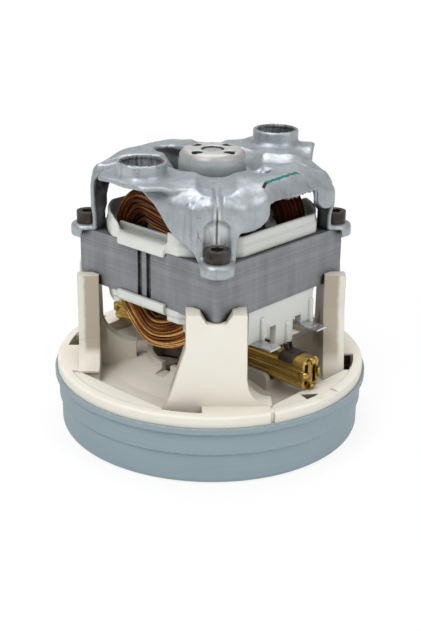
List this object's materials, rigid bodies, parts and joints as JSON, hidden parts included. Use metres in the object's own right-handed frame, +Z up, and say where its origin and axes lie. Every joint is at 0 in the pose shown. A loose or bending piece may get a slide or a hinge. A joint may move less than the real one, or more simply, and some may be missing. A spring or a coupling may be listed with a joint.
{
  "type": "vacuum cleaner motor",
  "caption": "Brushed motor on a flat fan drum: laminated stator on plastic posts under a pressed bracket with bearing dome and collars; it draws air in below and blows it out round the motor.",
  "frame": {"origin": "centre of the drum's underside, on the shaft's axis", "axes": "+Z up the shaft towards the bearing dome, +X along the brushes on the terminals' side, +Y along the field poles"},
  "size_m": [0.135, 0.135, 0.1221],
  "materials": {
    "cover_paint": "satin",
    "cream_plastic": "matte",
    "lamination_steel": "satin",
    "white_plastic": "satin",
    "copper_wire": "enamelled",
    "red_wire": "enamelled",
    "copper": "satin",
    "zinc_sheet": "satin",
    "dark_steel": "blackened",
    "bright_steel": "ground",
    "tinned_steel": "tinned",
    "holder_brass": "satin",
    "black_rubber": "matte",
    "dark_resin": "matte",
    "cage_resin": "matte",
    "fan_aluminium": "satin",
    "carbon": "matte"
  },
  "bodies": {
    "frame": {"fan_cover": "cover_paint", "diffuser": "cream_plastic", "motor_housing": "cream_plastic", "stator_stack": "lamination_steel", "upper_insulator": "white_plastic", "lower_insulator": "white_plastic", "field_coil_front": "copper_wire", "field_core_front": "copper_wire", "field_coil_rear": "copper_wire", "field_core_rear": "copper_wire", "top_bracket": "zinc_sheet", "bracket_screws": "dark_steel", "upper_bearing_sleeve": "black_rubber", "upper_bearing_outer": "bright_steel", "lower_bearing_outer": "bright_steel", "brush_holder_right": "holder_brass", "brush_holder_left": "holder_brass", "brush_clip_right": "dark_steel", "brush_clip_left": "dark_steel", "terminal_front": "tinned_steel", "terminal_rear": "tinned_steel", "brush_spring_right": "bright_steel", "brush_spring_left": "bright_steel", "brush_lead_right": "copper", "brush_lead_left": "copper"},
    "rotor": {"shaft": "bright_steel", "armature_core": "lamination_steel", "armature_winding": "red_wire", "commutator_bars": "copper", "commutator_hub": "dark_resin", "upper_bearing_inner": "bright_steel", "lower_bearing_inner": "bright_steel", "fan_spacer": "bright_steel", "impeller_back_disc": "fan_aluminium", "impeller_blades": "fan_aluminium", "impeller_front_disc": "fan_aluminium", "fan_nut": "bright_steel"},
    "upper_cage": {"upper_bearing_balls": "bright_steel", "upper_bearing_cage": "cage_resin"},
    "lower_cage": {"lower_bearing_balls": "bright_steel", "lower_bearing_cage": "cage_resin"},
    "brush_right": {"brush_right": "carbon"},
    "brush_left": {"brush_left": "carbon"}
  },
  "joints": [
    {"name": "rotor_spin", "type": "hinge", "parent": "frame", "child": "rotor", "pos_m": [0, 0, 0], "axis": [0, 0, 1], "continuous": true},
    {"name": "upper_cage_spin", "type": "hinge", "parent": "frame", "child": "upper_cage", "pos_m": [0, 0, 0], "axis": [0, 0, 1], "continuous": true},
    {"name": "lower_cage_spin", "type": "hinge", "parent": "frame", "child": "lower_cage", "pos_m": [0, 0, 0], "axis": [0, 0, 1], "continuous": true},
    {"name": "brush_right_slide", "type": "slide", "parent": "frame", "child": "brush_right", "axis": [1, 0, 0], "range_m": [0, 0.008], "stiffness_N_per_m": 150, "springref_m": -0.01, "deforming": ["brush_spring_right", "brush_lead_right"]},
    {"name": "brush_left_slide", "type": "slide", "parent": "frame", "child": "brush_left", "axis": [-1, 0, 0], "range_m": [0, 0.008], "stiffness_N_per_m": 150, "springref_m": -0.01, "deforming": ["brush_spring_left", "brush_lead_left"]}
  ],
  "couplings": [
    {"joint": "upper_cage_spin", "follows": "rotor_spin", "ratio": 0.37},
    {"joint": "lower_cage_spin", "follows": "rotor_spin", "ratio": 0.37}
  ]
}
